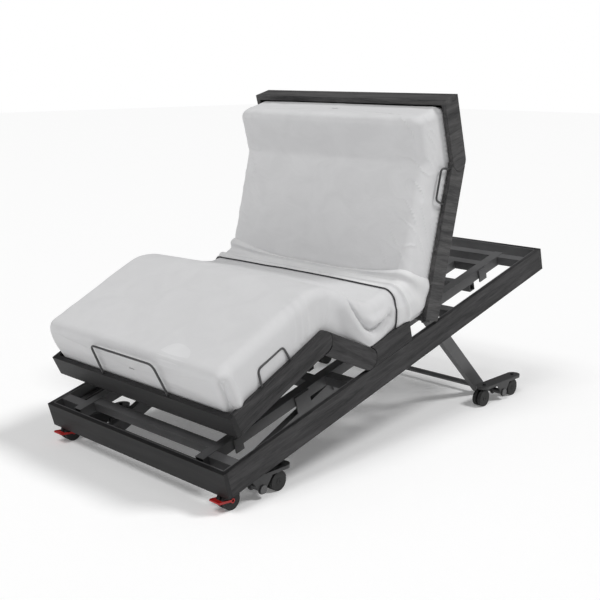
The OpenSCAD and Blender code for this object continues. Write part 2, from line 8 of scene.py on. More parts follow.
# %% Load the frame
import bpy
import json
import math
import numpy as np
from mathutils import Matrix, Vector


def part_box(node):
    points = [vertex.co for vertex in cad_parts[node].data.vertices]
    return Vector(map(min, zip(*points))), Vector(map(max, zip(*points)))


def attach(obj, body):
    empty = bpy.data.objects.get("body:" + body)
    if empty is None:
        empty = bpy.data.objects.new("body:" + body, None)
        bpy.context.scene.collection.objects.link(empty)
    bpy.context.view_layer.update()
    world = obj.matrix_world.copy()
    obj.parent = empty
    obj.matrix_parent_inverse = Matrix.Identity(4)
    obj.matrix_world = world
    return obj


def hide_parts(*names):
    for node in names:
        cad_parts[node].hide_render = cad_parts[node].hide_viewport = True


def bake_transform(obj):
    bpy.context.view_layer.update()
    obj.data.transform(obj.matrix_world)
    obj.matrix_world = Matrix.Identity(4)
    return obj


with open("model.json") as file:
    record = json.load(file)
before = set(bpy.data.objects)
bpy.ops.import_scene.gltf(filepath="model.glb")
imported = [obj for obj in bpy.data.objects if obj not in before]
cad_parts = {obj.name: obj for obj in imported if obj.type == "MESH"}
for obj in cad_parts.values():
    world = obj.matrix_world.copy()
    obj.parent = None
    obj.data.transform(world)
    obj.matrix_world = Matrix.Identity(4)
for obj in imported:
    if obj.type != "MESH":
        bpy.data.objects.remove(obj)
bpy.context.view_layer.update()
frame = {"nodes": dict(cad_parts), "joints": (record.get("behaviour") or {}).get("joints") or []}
joints = {joint["name"]: joint for joint in frame["joints"]}

# %% [markdown]
# The camera stands at eye height off the foot end, on the bed's left, far enough back for a long lens.
# A long lens keeps the bed's long lines from spreading, as in a catalogue picture. The room is a pale
# floor that glows faintly, two distant soft lamps, and a sky that is dim to the bed but white to
# the camera.

# %% Camera
CAMERA_AT = (3.0345, -3.1871, 1.5438)
CAMERA_YAW = math.radians(44.13)
CAMERA_DOWN = math.radians(12.93)
camera = bpy.data.objects.new("camera", bpy.data.cameras.new("camera"))
camera.data.lens = 60.56
camera.data.sensor_width = 36
camera.data.clip_end = 60
camera.location = CAMERA_AT
camera.rotation_euler = (math.pi / 2 - CAMERA_DOWN, 0, CAMERA_YAW)
bpy.context.collection.objects.link(camera)
bpy.context.scene.camera = camera
print("camera at", CAMERA_AT)


# %% Lamps and sky
def lamp(name, place, strength, spread):
    """A distant soft lamp that shines from place towards the middle of the floor."""
    light = bpy.data.lights.new(name, "SUN")
    light.energy = strength
    light.angle = math.radians(spread)
    item = bpy.data.objects.new(name, light)
    bpy.context.collection.objects.link(item)
    item.location = place
    flat = math.hypot(place[0], place[1])
    item.rotation_euler = (math.atan2(flat, place[2]), 0, math.atan2(place[0], -place[1]))
    return item


lamp("key", (1.7, 1.2, 3.0), 1.4, 14)
lamp("front", (0.2, -2.2, 3.8), 1.35, 30)
world = bpy.data.worlds.new("studio")
bpy.context.scene.world = world
bpy.context.scene.view_settings.view_transform = "Standard"
world.use_nodes = True
AMBIENT, BACKDROP = 0.19, 1.0
sky = world.node_tree
seen = sky.nodes.new("ShaderNodeLightPath")
strength = sky.nodes.new("ShaderNodeMapRange")
strength.inputs["To Min"].default_value = AMBIENT
strength.inputs["To Max"].default_value = BACKDROP
sky.links.new(seen.outputs["Is Camera Ray"], strength.inputs["Value"])
sky.nodes["Background"].inputs["Color"].default_value = (1, 1, 1, 1)
sky.links.new(strength.outputs[0], sky.nodes["Background"].inputs["Strength"])


# %% [markdown]
# A material is a small network of nodes. One helper adds a node, sets its values and plugs in its
# inputs, so each finish below reads as a short list of what lies on what. Colours are written as the
# hex values a paint chart gives, and turned into the linear numbers that the renderer needs.

# %% Helpers for materials
def linear(code):
    """sRGB hex to linear RGBA: a channel c becomes ((c + 0.055) / 1.055) ** 2.4, or c / 12.92 when dark."""
    channels = [int(code[i:i + 2], 16) / 255 for i in (1, 3, 5)]
    return tuple(c / 12.92 if c <= 0.04045 else ((c + 0.055) / 1.055) ** 2.4 for c in channels) + (1,)


def add(tree, kind, settings=None, **links):
    """Adds one node. settings holds its properties and its sockets' values, links the sockets to plug in."""
    node = tree.nodes.new(kind)
    for key, value in (settings or {}).items():
        if isinstance(key, int) or key in node.inputs:
            node.inputs[key].default_value = value
        else:
            setattr(node, key, value)
    for key, source in links.items():
        by_number = key[0] == "i" and key[1:].isdigit()
        tree.links.new(source, node.inputs[int(key[1:]) if by_number else key.replace("_", " ")])
    return node


def finish_material(name, roughness, **constants):
    """A new material and its tree, with the shader's constant values set on its own sockets."""
    material = bpy.data.materials.new(name)
    material.use_nodes = True
    shader = material.node_tree.nodes["Principled BSDF"]
    shader.inputs["Roughness"].default_value = roughness
    for key, value in constants.items():
        shader.inputs[key.replace("_", " ")].default_value = value
    return material, material.node_tree, shader


def two_colours(tree, shader, factor, low, high):
    """Mixes two hex colours by a factor and gives them to the shader."""
    ramp = add(tree, "ShaderNodeMix", {"data_type": "RGBA"}, Factor=factor)
    ramp.inputs[6].default_value = linear(low)
    ramp.inputs[7].default_value = linear(high)
    tree.links.new(ramp.outputs[2], shader.inputs["Base Color"])
    return ramp


def paint(node_name, material):
    """Gives a ready made node its finish."""
    slots = frame["nodes"][node_name].data.materials
    slots.clear()
    slots.append(material)


# %% Floor
floor_mesh = bpy.data.meshes.new("floor")
FLOOR = 30.0
floor_mesh.from_pydata([(-FLOOR, -FLOOR, 0), (FLOOR, -FLOOR, 0), (FLOOR, FLOOR, 0), (-FLOOR, FLOOR, 0)], [],
                       [(0, 1, 2, 3)])
floor = bpy.data.objects.new("floor", floor_mesh)
bpy.context.collection.objects.link(floor)
floor_material, tree, shader = finish_material("pale studio floor", 0.9)
shader.inputs["Base Color"].default_value = linear("#f6f6f6")
shader.inputs["Emission Color"].default_value = (1, 1, 1, 1)
shader.inputs["Emission Strength"].default_value = 0.14
floor_mesh.materials.append(floor_material)

# %% [markdown]
# ## Woodgrain laminate
# The boards are chipboard with a printed charcoal oak foil, pressed against an embossed plate. The
# grain is a noise stretched eleven times one way, along most boards and up the boards of the back and
# the head. The same noise dents the surface a little, because the emboss follows the print. The grain
# has to turn with each section, so the material is made once for each direction. Short end boards
# carry their grain across the bed, past a given place along the section. Past the foot end the grain
# is pulled towards its dark colour as painted shade, and the back and head boards get painted light:
# the same foil in lighter colours.


# %% Woodgrain laminate
GRAIN_WIDTH = 0.0045
GRAIN_STRETCH = 0.09
# Painted shade on the boards' foot ends: the share of the grain's light tone that is left there.
FOOT_END_PAINTED_SHADE = 0.25


def woodgrain(name, angle, ends=None, low_colour="#151516", high_colour="#424142", run=(1, GRAIN_STRETCH, 1)):
    """Charcoal oak foil on a board that slopes by angle. Beyond ends the grain goes across the bed, and past
    the foot end it carries painted shade.
    """
    material, tree, shader = finish_material(name, 0.5, Specular_IOR_Level=0.25)
    place = add(tree, "ShaderNodeTexCoord")
    turned = add(tree, "ShaderNodeMapping", {"Rotation": (-angle, 0, 0)}, Vector=place.outputs["Object"])
    along = add(tree, "ShaderNodeMapping", {"Scale": run}, Vector=turned.outputs[0])
    vector, painted_shade_mask = along.outputs[0], None
    if ends:
        across = add(tree, "ShaderNodeMapping", {"Scale": (GRAIN_STRETCH, 1, 1)}, Vector=turned.outputs[0])
        parts = add(tree, "ShaderNodeSeparateXYZ", Vector=turned.outputs[0])
        low = add(tree, "ShaderNodeMath", {"operation": "LESS_THAN", 1: ends[0]}, i0=parts.outputs[1])
        high = add(tree, "ShaderNodeMath", {"operation": "GREATER_THAN", 1: ends[1]}, i0=parts.outputs[1])
        either = add(tree, "ShaderNodeMath", {"operation": "MAXIMUM"}, i0=low.outputs[0], i1=high.outputs[0])
        pick = add(tree, "ShaderNodeMix", {"data_type": "VECTOR"}, Factor=either.outputs[0])
        tree.links.new(along.outputs[0], pick.inputs[4])
        tree.links.new(across.outputs[0], pick.inputs[5])
        vector, painted_shade_mask = pick.outputs[1], low.outputs[0]
    fibres = add(tree, "ShaderNodeTexNoise", {"Scale": 1 / GRAIN_WIDTH, "Detail": 5, "Roughness": 0.62,
                                              "Distortion": 0.6}, Vector=vector)
    bands = add(tree, "ShaderNodeTexNoise", {"Scale": 0.12 / GRAIN_WIDTH, "Detail": 3, "Distortion": 1.2},
                Vector=vector)
    mixed = add(tree, "ShaderNodeMath", {"operation": "MULTIPLY_ADD", 1: 0.55}, i0=bands.outputs[0])
    tree.links.new(add(tree, "ShaderNodeMath", {"operation": "MULTIPLY", 1: 0.45},
                       i0=fibres.outputs[0]).outputs[0], mixed.inputs[2])
    spread = add(tree, "ShaderNodeMapRange", {"From Min": 0.36, "From Max": 0.64}, Value=mixed.outputs[0])
    tone = spread.outputs[0]
    # Painted shade: past the foot end the grain's mix is pulled towards the dark colour.
    if painted_shade_mask:
        painted_shade_factor = add(tree, "ShaderNodeMath", {"operation": "MULTIPLY_ADD", 1: FOOT_END_PAINTED_SHADE - 1, 2: 1.0},
                     i0=painted_shade_mask)
        tone = add(tree, "ShaderNodeMath", {"operation": "MULTIPLY"}, i0=tone,
                   i1=painted_shade_factor.outputs[0]).outputs[0]
    two_colours(tree, shader, tone, low_colour, high_colour)
    rough = add(tree, "ShaderNodeMapRange", {"To Min": 0.40, "To Max": 0.58}, Value=fibres.outputs[0])
    tree.links.new(rough.outputs[0], shader.inputs["Roughness"])
    edge = add(tree, "ShaderNodeBevel", {"Radius": 0.0015})
    edge.samples = 4
    bump = add(tree, "ShaderNodeBump", {"Strength": 0.35, "Distance": 0.0004}, Height=fibres.outputs[0],
               Normal=edge.outputs[0])
    tree.links.new(bump.outputs[0], shader.inputs["Normal"])
    return material


# %% [markdown]
# The thigh and the back each lie between two hinges, whose places the frame knows. The other sections
# are given a slope: the seat has the whole base's, and the leg and head sections have no second hinge.
# The grain, the mattress and the linen all follow these lines.

# %% Directions of the deck sections
SLOPE = math.radians(15.0)
CALF_DROP = math.radians(10.6)
HEAD_TURN = math.radians(29.4)


def side_point(joint_name):
    """Where a hinge axis crosses the bed's middle plane, as (y, z)."""
    return np.array(joints[joint_name]["pos_m"][1:], float)


def unit(v):
    return v / np.linalg.norm(v)


def direction(angle):
    return np.array([math.cos(angle), math.sin(angle)])


def angle_of(v):
    return math.atan2(v[1], v[0])


def upward(d):
    """The direction that points out of the deck, for a section that runs along d towards the head."""
    return np.array([-d[1], d[0]])


THIGH, KNEE = side_point("thigh_hinge"), side_point("knee_hinge")
BACK, NECK = side_point("back_hinge"), side_point("neck_hinge")
along_seat = direction(SLOPE)
along_thigh = unit(THIGH - KNEE)
along_calf = direction(SLOPE + CALF_DROP)
along_back = unit(NECK - BACK)
along_head = direction(angle_of(along_back) + HEAD_TURN)
for label, d in (("calf", along_calf), ("thigh", along_thigh), ("seat", along_seat), ("back", along_back),
                 ("head", along_head)):
    print(label, "runs at", round(math.degrees(angle_of(d)), 1), "degrees")


def along_of(d, point):
    """How far a point lies along a direction, from the origin, for the grain's change at the ends."""
    return float(np.dot(point, d))


# %% Finishes of the boards
BOARD = 0.022
CALF_LENGTH = 0.512
HEAD_LENGTH = 0.272
SURROUND_LENGTH = 2.1
SURROUND_END = 0.0182
FOOT_EDGE_RISE = 0.1005
foot_face = along_of(along_calf, KNEE) - CALF_LENGTH
head_face = along_of(along_head, NECK) + HEAD_LENGTH
surround_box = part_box("surround_boards")
surround_foot = along_of(along_seat, np.array([surround_box[0][1], surround_box[0][2] + FOOT_EDGE_RISE]))
surround_head = surround_foot + SURROUND_LENGTH
FAR = 9.0
# The surround and the leg boards carry painted shade on their foot ends.
paint("surround_boards", woodgrain("charcoal oak laminate, surround, painted shade at foot end", SLOPE,
                                   (surround_foot + SURROUND_END, surround_head - SURROUND_END)))
paint("seat_boards", woodgrain("charcoal oak laminate, seat", SLOPE))
paint("thigh_boards", woodgrain("charcoal oak laminate, thigh", angle_of(along_thigh)))
paint("calf_boards", woodgrain("charcoal oak laminate, leg, painted shade at foot end", angle_of(along_calf), (foot_face + BOARD, FAR)))
# Painted light: the back and head boards are the same foil in lighter colours, and their grain runs up the
# board.
BACK_PAINTED_LIGHT_AND_GRAIN = "#2c2c2d", "#5a5959", (1, 1, GRAIN_STRETCH)
paint("back_boards", woodgrain("charcoal oak laminate, back, painted lighter", angle_of(along_back), None, *BACK_PAINTED_LIGHT_AND_GRAIN))
paint("head_boards", woodgrain("charcoal oak laminate, head, painted lighter", angle_of(along_head), (-FAR, head_face - BOARD),
                               *BACK_PAINTED_LIGHT_AND_GRAIN))

# %% [markdown]
# ## Powder-coated steel and the small parts
# The chassis is mild steel tube with a charcoal powder coat. Baked powder pulls into a fine orange
# peel, and a little of the light that falls on it comes back sharp. The actuators are glass-filled
# nylon, and the rods are bright zinc.


# %% Steel and plastics
def coated(name, low, high, roughness, grit, depth, metallic=0.0, edge_radius=0.0012, **constants):
    """A finish with a fine grit of the given size in metres, mottled between two colours."""
    material, tree, shader = finish_material(name, roughness, Metallic=metallic, **constants)
    place = add(tree, "ShaderNodeTexCoord")
    grain = add(tree, "ShaderNodeTexNoise", {"Scale": 1 / grit, "Detail": 2}, Vector=place.outputs["Object"])
    cloud = add(tree, "ShaderNodeTexNoise", {"Scale": 9.0, "Detail": 3}, Vector=place.outputs["Object"])
    spread = add(tree, "ShaderNodeMapRange", {"From Min": 0.3, "From Max": 0.7}, Value=cloud.outputs[0])
    two_colours(tree, shader, spread.outputs[0], low, high)
    rough = add(tree, "ShaderNodeMapRange", {"To Min": roughness - 0.06, "To Max": roughness + 0.06},
                Value=cloud.outputs[0])
    tree.links.new(rough.outputs[0], shader.inputs["Roughness"])
    edge = add(tree, "ShaderNodeBevel", {"Radius": edge_radius})
    edge.samples = 4
    bump = add(tree, "ShaderNodeBump", {"Strength": 0.3, "Distance": depth}, Height=grain.outputs[0],
               Normal=edge.outputs[0])
    tree.links.new(bump.outputs[0], shader.inputs["Normal"])
    return material


steel = coated("charcoal powder-coated steel", "#525253", "#606061", 0.42, 0.0016, 0.00012)
dark_steel = coated("black powder-coated steel", "#2a2a2b", "#363637", 0.44, 0.0016, 0.00012)
nylon = coated("glass-filled nylon", "#1d1d1e", "#262627", 0.52, 0.0011, 0.0001)
pedal_red = coated("moulded red nylon", "#a81414", "#c01c1a", 0.38, 0.0012, 0.00008)
zinc = coated("bright zinc-plated rod", "#b4b5b8", "#c8c9cb", 0.24, 0.0009, 0.00003, metallic=1.0)
for name in frame["nodes"]:
    if name.startswith("bogie"):
        paint(name, dark_steel)
    elif name.startswith("castor_fork") or name.endswith("lift_body") or name == "control_box":
        paint(name, nylon)
    elif name.startswith("brake_pedal"):
        paint(name, pedal_red)
    elif name.endswith("lift_rod"):
        paint(name, zinc)
    elif name.startswith(("chassis", "leg_brackets", "foot_leg", "head_leg")) or name.endswith("_frame"):
        paint(name, steel)
    elif name == "back_carriage":
        paint(name, steel)

# %% [markdown]
# ## Bed linen
# Cotton percale is a plain weave of fine threads with a soft, matt look. Its threads are about a
# quarter of a millimetre apart, too fine for the picture, so the weave is drawn at 1.2 mm, only strong
# enough to break up the highlight. Broad, shallow creases come from a stretched noise. The linen has
# its own map: metres across the bed and metres along the cloth, so the weave follows every fold.


# %% Cotton percale
WEAVE = 0.0012


def percale(name, low, high, crease, sheen=0.25):
    """Woven cotton: two crossed waves for the threads, and two noises for creases and pressing marks."""
    material, tree, shader = finish_material(name, 0.82, Sheen_Weight=sheen, Sheen_Roughness=0.5)
    cloth_map = add(tree, "ShaderNodeUVMap", {"uv_map": "cloth"})
    warp = add(tree, "ShaderNodeTexWave", {"wave_type": "BANDS", "bands_direction": "X",
                                           "Scale": 1 / WEAVE / 3.2}, Vector=cloth_map.outputs[0])
    weft = add(tree, "ShaderNodeTexWave", {"wave_type": "BANDS", "bands_direction": "Y",
                                           "Scale": 1 / WEAVE / 3.2}, Vector=cloth_map.outputs[0])
    threads = add(tree, "ShaderNodeMath", {"operation": "MULTIPLY"}, i0=warp.outputs[0], i1=weft.outputs[0])
    soft = add(tree, "ShaderNodeTexNoise", {"Scale": 7.0, "Detail": 4, "Roughness": 0.55, "Distortion": 0.9},
               Vector=cloth_map.outputs[0])
    fine = add(tree, "ShaderNodeTexNoise", {"Scale": 38.0, "Detail": 3, "Distortion": 0.6},
               Vector=cloth_map.outputs[0])
    tint = add(tree, "ShaderNodeMapRange", {"From Min": 0.35, "From Max": 0.65}, Value=soft.outputs[0])
    two_colours(tree, shader, tint.outputs[0], low, high)
    crumple = add(tree, "ShaderNodeBump", {"Strength": crease, "Distance": 0.006}, Height=soft.outputs[0])
    press = add(tree, "ShaderNodeBump", {"Strength": crease * 0.5, "Distance": 0.0015},
                Height=fine.outputs[0], Normal=crumple.outputs[0])
    weave = add(tree, "ShaderNodeBump", {"Strength": 0.12, "Distance": 0.0003}, Height=threads.outputs[0],
                Normal=press.outputs[0])
    tree.links.new(weave.outputs[0], shader.inputs["Normal"])
    return material


fitted_linen = percale("cotton percale, fitted sheet", "#dadadb", "#dfdfe0", 0.35)
cover_linen = percale("cotton percale, top sheet", "#d4d4d5", "#d8d8d9", 0.35)
band_linen = percale("cotton sateen, turned-down band", "#dcdcdd", "#e2e2e2", 0.3, sheen=0.1)

# %% [markdown]
# ## The mattress
# The mattress is one foam block that bends with the deck. Seen from the side it is a strip between two
# lines: the lower line lies on the deck, and the upper one is the same line moved out by the
# mattress's thickness. At a fold that closes, the upper line gets shorter and makes a crease. At the
# knee, which opens, it goes round an arc. So the shape is worked out as pairs of points, one on each
# line, and a rounded rectangle is stretched between each pair.

# %% The two side lines
LIFT = 0.009
THICK = 0.190
STEP = 0.0065
END_ROUND = 0.034
FOOT_GAP = 0.029
FOOT_LEAN = 0.008
HEAD_GAP = 0.030
KNEE_STEPS = 14


def meet(p, d, q, e):
    """Where the line through p along d crosses the line through q along e."""
    return p + d * np.linalg.solve(np.array([d, -e]).T, q - p)[0]


def fold(p, q, d, e, height):
    """Where two sections' lines meet, at a height above the deck."""
    return meet(p + upward(d) * height, d, q + upward(e) * height, e)


LOW, HIGH = LIFT, LIFT + THICK
calf_end = KNEE - along_calf * (CALF_LENGTH - FOOT_GAP - END_ROUND)
head_end = NECK + along_head * (HEAD_LENGTH - HEAD_GAP - END_ROUND)
arc = np.linspace(angle_of(upward(along_calf)), angle_of(upward(along_thigh)), KNEE_STEPS)
stations = [("foot", calf_end + upward(along_calf) * LOW,
             calf_end + along_calf * FOOT_LEAN + upward(along_calf) * HIGH)]
stations += [("knee", KNEE + direction(a) * LOW, KNEE + direction(a) * HIGH) for a in arc]
stations += [(name, fold(p, q, d, e, LOW), fold(p, q, d, e, HIGH)) for name, p, q, d, e in (
    ("thigh fold", KNEE, THIGH, along_thigh, along_seat), ("back fold", THIGH, BACK, along_seat, along_back),
    ("neck fold", BACK, NECK, along_back, along_head))]
stations += [("head", head_end + upward(along_head) * LOW, head_end + upward(along_head) * HIGH)]


def smoothed(values, width):
    """A Gaussian blur along the rows that leaves both ends in place. width is in rows."""
    reach = int(4 * width) + 1
    kernel = np.exp(-0.5 * (np.arange(-reach, reach + 1) / width) ** 2)
    start, end = 2 * values[:1] - values[reach:0:-1], 2 * values[-1:] - values[-2:-reach - 2:-1]
    padded = np.vstack([start, values, end])
    return np.stack([np.convolve(column, kernel / kernel.sum(), "valid") for column in padded.T], 1)


def side_rows():
    """Points on both lines, about STEP apart, and the row at which each named station starts and ends."""
    low, high, rows = [], [], {}
    for (name, b0, t0), (following, b1, t1) in zip(stations, stations[1:]):
        count = max(1, round(max(np.linalg.norm(b1 - b0), np.linalg.norm(t1 - t0)) / STEP))
        share = (np.arange(count) / count)[:, None]
        rows.setdefault(name, len(low))
        rows[name + " end"] = len(low)
        low.extend(b0 + (b1 - b0) * share)
        high.extend(t0 + (t1 - t0) * share)
    rows["head"] = len(low)
    return np.array(low + [stations[-1][1]]), np.array(high + [stations[-1][2]]), rows


raw_low, raw_high, ROW = side_rows()
LAST = len(raw_low) - 1
mattress_lines = smoothed(raw_low, 3.0), smoothed(raw_high, 2.2)
print("rows along the mattress:", LAST + 1)

# %% [markdown]
# Round the mattress the position is a girth: the distance over the surface from the middle of its top,
# positive on the bed's left. Along it the position is a row. Past its first and last rows a rounded
# edge and a flat end follow, which shrink to the middle of the end. Cloth that lies on the mattress is
# the same surface, moved out along its normal by a height that may differ from place to place.

# %% Mattress surface
WIDTH = 1.056
TOP_ROUND, LOW_ROUND = 0.036, 0.02
CROWN, BELLY = 0.004, 0.003
ROUND_ROWS, FLAT_ROWS = 8, 12
FLAT_HALF = WIDTH / 2 - TOP_ROUND
CORNER_END = FLAT_HALF + TOP_ROUND * math.pi / 2
SIDE_LONG = THICK - TOP_ROUND - LOW_ROUND
SIDE_END = CORNER_END + SIDE_LONG
LOW_CORNER_END = SIDE_END + LOW_ROUND * math.pi / 2
GIRTH = LOW_CORNER_END + WIDTH / 2 - LOW_ROUND


def outline(girth):
    """The rounded rectangle at a girth: flat top, corner, side, corner and flat underside, in turn."""
    d = np.abs(girth)
    top = np.clip(d - FLAT_HALF, 0, CORNER_END - FLAT_HALF) / TOP_ROUND
    low = np.clip(d - SIDE_END, 0, LOW_CORNER_END - SIDE_END) / LOW_ROUND
    x = (np.minimum(d, FLAT_HALF) + TOP_ROUND * np.sin(top) - LOW_ROUND * (1 - np.cos(low))
         - np.clip(d - LOW_CORNER_END, 0, None))
    height = (THICK - TOP_ROUND * (1 - np.cos(top)) - np.clip(d - CORNER_END, 0, SIDE_LONG)
              - LOW_ROUND * np.sin(low)) / THICK
    x = x + BELLY * np.sin(math.pi * np.clip(height, 0, 1)) * (d > FLAT_HALF)
    crowned = CROWN / THICK * (1 - (x / (WIDTH / 2)) ** 2) * (d < LOW_CORNER_END)
    height = height + crowned * np.clip(height, 0, 1)
    return np.sign(girth) * x, height


def skin_on(lines):
    """The surface stretched between two side lines, as a function of row and girth."""
    index = np.arange(LAST + 1)

    def skin(row, girth):
        x, share = outline(girth)
        low, high = [np.stack([np.interp(row, index, line[:, k]) for k in (0, 1)], -1) for line in lines]
        past = np.maximum(-row, 0) + np.maximum(row - LAST, 0)
        turn = np.clip(past / ROUND_ROWS, 0, 1) * math.pi / 2
        inset = END_ROUND * (1 - np.cos(turn))
        shrink = 1 - np.clip((past - ROUND_ROWS) / FLAT_ROWS, 0, 1)
        x = x * (1 - inset / (WIDTH / 2)) * shrink
        share = 0.5 + (share - 0.5) * (1 - inset / (THICK / 2)) * shrink
        outward = np.where((row < 0)[..., None], -along_calf, along_head)
        side = low + (high - low) * share[..., None] + outward * (END_ROUND * np.sin(turn))[..., None]
        return np.concatenate([x[..., None], side], -1)

    return skin


def normal_of(skin, row, girth):
    """Unit normal: the cross product of a small step across and a small step along."""
    across = skin(row, girth + 0.001) - skin(row, girth - 0.001)
    along = skin(row + 0.3, girth) - skin(row - 0.3, girth)
    normal = np.cross(across, along)
    return normal / np.maximum(np.linalg.norm(normal, axis=-1, keepdims=True), 1e-12)


def raised(skin, height):
    """The same surface moved out along its normal by height(row, girth)."""
    return lambda row, girth: skin(row, girth) + normal_of(skin, row, girth) * height(row, girth)[..., None]


mattress_skin = skin_on(mattress_lines)
print("girth of the mattress:", round(2 * GIRTH, 3), "m")

# %% [markdown]
# Cloth is never quite smooth. Its folds are drawn with smooth random hills: random values on a
# lattice, blended between its points. Stretched hills make long folds, and hills with their middle
# level folded over make sharp creases. All the random values come from fixed seeds.

# %% Random hills
LATTICE = 64


def hills(a, b, size_a, size_b, seed):
    """Values from -1 to 1: the four nearest lattice values, blended by 3t^2 - 2t^3 both ways."""
    lattice = np.random.default_rng(seed).uniform(-1, 1, (LATTICE, LATTICE))
    p, q = a / size_a + 500, b / size_b + 500
    i, j = np.floor(p).astype(int), np.floor(q).astype(int)
    s, t = p - i, q - j
    s, t = s * s * (3 - 2 * s), t * t * (3 - 2 * t)
    i0, i1, j0, j1 = i % LATTICE, (i + 1) % LATTICE, j % LATTICE, (j + 1) % LATTICE
    return ((lattice[i0, j0] * (1 - s) + lattice[i1, j0] * s) * (1 - t)
            + (lattice[i0, j1] * (1 - s) + lattice[i1, j1] * s) * t)


def creases(a, b, size_a, size_b, seed):
    """Narrow ridges from 0 to 1, where the hills pass through their middle level."""
    return np.clip(1 - 3 * np.abs(hills(a, b, size_a, size_b, seed)), 0, 1) ** 2


def bump(value, centre, width):
    """A bell from 0 to 1 round a centre."""
    return np.exp(-((value - centre) / width) ** 2)


def step_up(value, start, end):
    """0 before start, 1 after end, and 3t^2 - 2t^3 between them."""
    t = np.clip((value - start) / (end - start), 0, 1)
    return t * t * (3 - 2 * t)


# %% Mesh builders
def make_piece(name, points, faces, normals, material, cloth=None):
    """A mesh object from points and faces. normals holds one normal for each corner of each face."""
    mesh = bpy.data.meshes.new(name)
    face_list = faces.tolist() if hasattr(faces, "tolist") else faces
    mesh.from_pydata(points.reshape(-1, 3).tolist(), [], face_list)
    mesh.shade_smooth()
    corner = np.zeros(len(mesh.loops), np.int32)
    mesh.loops.foreach_get("vertex_index", corner)
    if cloth is not None:
        layer = mesh.uv_layers.new(name="cloth")
        layer.data.foreach_set("uv", cloth[corner].astype(np.float32).ravel())
    if normals is not None:
        mesh.normals_split_custom_set(normals)
    mesh.materials.append(material)
    item = bpy.data.objects.new(name, mesh)
    bpy.context.collection.objects.link(item)
    return item


def grid_faces(rows, columns, first=0, turned=False):
    """Quads of a grid of points, rows by columns, in the order that faces the normal, or turned round."""
    i, j = np.meshgrid(np.arange(rows - 1), np.arange(columns - 1), indexing="ij")
    a = (first + i * columns + j).ravel()
    quads = np.stack([a, a + 1, a + columns + 1, a + columns], 1)
    return quads[:, ::-1] if turned else quads


def cloth_shell(name, skin, row, girth, thickness, material):
    """Cloth between two grids: the skin, and the skin moved in by its thickness, joined round the edges."""
    rows, columns = row.shape
    outer, normal = skin(row, girth), normal_of(skin, row, girth)
    inner = outer - normal * thickness
    count = rows * columns
    border = np.concatenate([np.arange(columns), np.arange(1, rows) * columns + columns - 1,
                             (rows - 1) * columns + np.arange(columns - 2, -1, -1),
                             np.arange(rows - 2, 0, -1) * columns])
    following = np.roll(border, -1)
    rim = np.stack([border, border + count, following + count, following], 1)
    faces = np.vstack([grid_faces(rows, columns), grid_faces(rows, columns, count, True), rim])
    points = np.vstack([outer.reshape(-1, 3), inner.reshape(-1, 3)])
    flat = np.vstack([normal.reshape(-1, 3), -normal.reshape(-1, 3)])
    corners = flat[faces.ravel()]
    edge = points[border] - points[following]
    out = np.cross(points[border + count] - points[border], edge)
    out /= np.maximum(np.linalg.norm(out, axis=1, keepdims=True), 1e-12)
    corners[-4 * len(rim):] = np.repeat(-out, 4, axis=0)
    cloth = np.stack([girth.ravel(), row.ravel() * STEP], 1)
    return make_piece(name, points, faces, corners, material, np.vstack([cloth, cloth]))


print("helpers for cloth are ready")

# %% [markdown]
# The mattress is cut into five pieces where the bed bends. Each piece is named for a bend between two
# parts of the bed: the leg and thigh sections over the knee, the thigh and the seat, the seat and the
# sliding carriage, the carriage and the back, and the back and the head. The pieces' shading normals
# come from the whole surface, so no cut shows.


# %% Cuts and bends
def share_row(a, b, share):
    """The row at a share of the way from one named row to another."""
    return ROW[a] + (ROW[b] - ROW[a]) * share


CUTS = {"thigh": share_row("knee end", "thigh fold", 0.75),
        "seat": share_row("thigh fold", "back fold", 0.03),
        "hip": share_row("thigh fold", "back fold", 0.975),
        "back": share_row("back fold", "neck fold", 0.5)}
along_knee = unit(along_calf + along_thigh)
along_groin = unit(along_thigh + along_seat)
along_hip = unit(along_seat + along_back)
along_neck = unit(along_back + along_head)
KNEE_REACH = 0.165
FOLD_BEFORE, FOLD_AFTER = 0.040, 0.001
NECK_REACH = 0.035
seat_from = THIGH + along_seat * 0.079
seat_to = BACK - along_seat * 0.126
BENDS = {
    "leg": ("calf_section", "thigh_section", KNEE - along_knee * KNEE_REACH, KNEE + along_knee * KNEE_REACH),
    "thigh": ("thigh_section", "chassis", THIGH - along_groin * FOLD_BEFORE,
              THIGH + along_groin * FOLD_AFTER),
    "seat": ("chassis", "back_carriage", seat_from, seat_to),
    "back": ("back_carriage", "back_section", BACK - along_hip * FOLD_AFTER, BACK + along_hip * FOLD_BEFORE),
    "head": ("back_section", "head_section", NECK - along_neck * NECK_REACH, NECK + along_neck * NECK_REACH)}


def bend(piece, name):
    """Bakes the piece's place into its points. The named bend is looked up, but its bodies and ends are not
    used.
    """
    first, second, start, end = BENDS[name]
    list(start)
    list(end)
    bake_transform(piece)


def grid_of(first, last, low, high, row_step, girth_step):
    """Rows and girths of an even grid, rows from first to last, girths from low to high."""
    rows = np.linspace(first, last, max(2, int(round((last - first) / row_step)) + 1))
    girths = np.linspace(low, high, max(2, int(round((high - low) / girth_step)) + 1))
    return np.meshgrid(rows, girths, indexing="ij")


